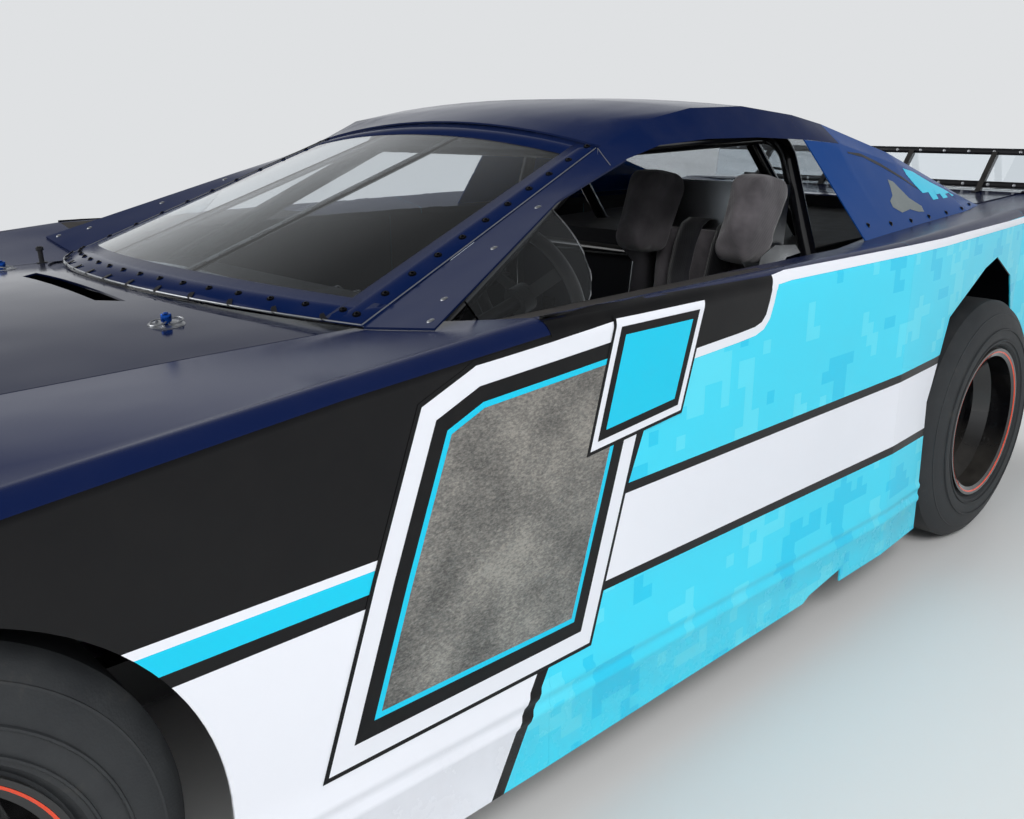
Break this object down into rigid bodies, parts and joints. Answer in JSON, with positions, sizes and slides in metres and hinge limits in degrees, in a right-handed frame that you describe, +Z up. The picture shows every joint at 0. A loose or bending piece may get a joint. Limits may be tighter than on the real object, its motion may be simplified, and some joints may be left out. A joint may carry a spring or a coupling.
{
  "type": "stock car",
  "caption": "Low wide race car with thin body panels over a tube cage, deep-dish wheels on slick tyres, lift-off hood, hinged deck lid and steering.",
  "frame": {"origin": "on the ground under the middle of the car's overall length and width", "axes": "+X forward, +Y to the driver's left, +Z up"},
  "size_m": [4.9768, 2.008, 1.2058],
  "materials": {
    "panel_black": "gloss black vinyl wrap over a composite panel",
    "panel_cyan": "printed gloss vinyl wrap over sheet aluminium",
    "clear_sheet": "clear polycarbonate sheet",
    "black_steel": "gloss black powder coat on steel tube",
    "frame_steel": "black powder coat on box steel",
    "sheet_black": "satin dark sheet aluminium",
    "bare_aluminium": "brushed",
    "wheel_black": "gloss black enamel on steel",
    "tyre": "scuffed slick rubber",
    "cast": "machined and painted",
    "pad_fabric": "charcoal knit over foam",
    "grip": "suede-like grip",
    "damper": "powder coated spring on a plated damper",
    "exhaust_steel": "heat-tinted steel"
  },
  "bodies": {
    "root": {"nose": "panel_black", "roof": "panel_black", "sail_left": "panel_black", "sail_right": "panel_black", "fender_left": "panel_cyan", "fender_right": "panel_cyan", "door_left": "panel_cyan", "door_right": "panel_cyan", "quarter_left": "panel_cyan", "quarter_right": "panel_cyan", "tail_cover": "panel_cyan", "windscreen": "clear_sheet", "rear_window": "clear_sheet", "wing_windows": "clear_sheet", "roll_cage": "black_steel", "grille": "black_steel", "frame_rails": "frame_steel", "suspension_arms": "frame_steel", "rear_axle": "frame_steel", "steering_gear": "frame_steel", "floor_pan": "sheet_black", "firewall": "sheet_black", "dash_panel": "sheet_black", "rear_bulkhead": "sheet_black", "seat_shell": "bare_aluminium", "radiator": "bare_aluminium", "windscreen_straps": "bare_aluminium", "engine_block": "cast", "drive_shaft": "cast", "seat_pads": "pad_fabric", "coil_overs": "damper", "exhaust": "exhaust_steel", "fuel_cell": "sheet_black"},
    "hood": {"hood": "panel_black"},
    "deck_lid": {"deck_lid": "panel_black", "spoiler": "clear_sheet", "spoiler_braces": "black_steel"},
    "steering_wheel": {"steering_wheel": "grip"},
    "rack": {"tie_rods": "frame_steel"},
    "knuckle_left": {"knuckle_left": "cast"},
    "knuckle_right": {"knuckle_right": "cast"},
    "wheel_front_left": {"rim_front_left": "wheel_black", "tyre_front_left": "tyre"},
    "wheel_front_right": {"rim_front_right": "wheel_black", "tyre_front_right": "tyre"},
    "wheel_rear_left": {"rim_rear_left": "wheel_black", "tyre_rear_left": "tyre"},
    "wheel_rear_right": {"rim_rear_right": "wheel_black", "tyre_rear_right": "tyre"}
  },
  "joints": [
    {"name": "steer_left", "type": "hinge", "parent": "root", "child": "knuckle_left", "pos_m": [1.3785, 0.66, 0.338], "axis": [0, 0, 1], "range_deg": [-20, 20]},
    {"name": "steer_right", "type": "hinge", "parent": "root", "child": "knuckle_right", "pos_m": [1.3785, -0.66, 0.338], "axis": [0, 0, 1], "range_deg": [-20, 20]},
    {"name": "rack_slide", "type": "slide", "parent": "root", "child": "rack", "axis": [0, 1, 0], "range_m": [-0.046, 0.046]},
    {"name": "wheel_turn", "type": "hinge", "parent": "root", "child": "steering_wheel", "pos_m": [-0.1085, 0.37, 0.76], "axis": [-0.957, 0, 0.29], "range_deg": [-200, 200]},
    {"name": "spin_front_left", "type": "hinge", "parent": "knuckle_left", "child": "wheel_front_left", "pos_m": [1.3785, 0.844, 0.338], "axis": [0, 1, 0], "continuous": true},
    {"name": "spin_front_right", "type": "hinge", "parent": "knuckle_right", "child": "wheel_front_right", "pos_m": [1.3785, -0.844, 0.338], "axis": [0, 1, 0], "continuous": true},
    {"name": "spin_rear_left", "type": "hinge", "parent": "root", "child": "wheel_rear_left", "pos_m": [-1.2885, 0.866, 0.338], "axis": [0, 1, 0], "continuous": true},
    {"name": "spin_rear_right", "type": "hinge", "parent": "root", "child": "wheel_rear_right", "pos_m": [-1.2885, -0.866, 0.338], "axis": [0, 1, 0], "continuous": true},
    {"name": "hood_lift", "type": "slide", "parent": "root", "child": "hood", "axis": [0, 0, 1], "range_m": [0, 0.4]},
    {"name": "deck_lid_hinge", "type": "hinge", "parent": "root", "child": "deck_lid", "pos_m": [-1.9745, 0, 0.86798], "axis": [0, 1, 0], "range_deg": [0, 55]}
  ],
  "couplings": [
    {"joint": "steer_right", "follows": "steer_left", "ratio": 1},
    {"joint": "rack_slide", "follows": "steer_left", "m_per_rad": 0.13},
    {"joint": "wheel_turn", "follows": "steer_left", "ratio": 10}
  ]
}
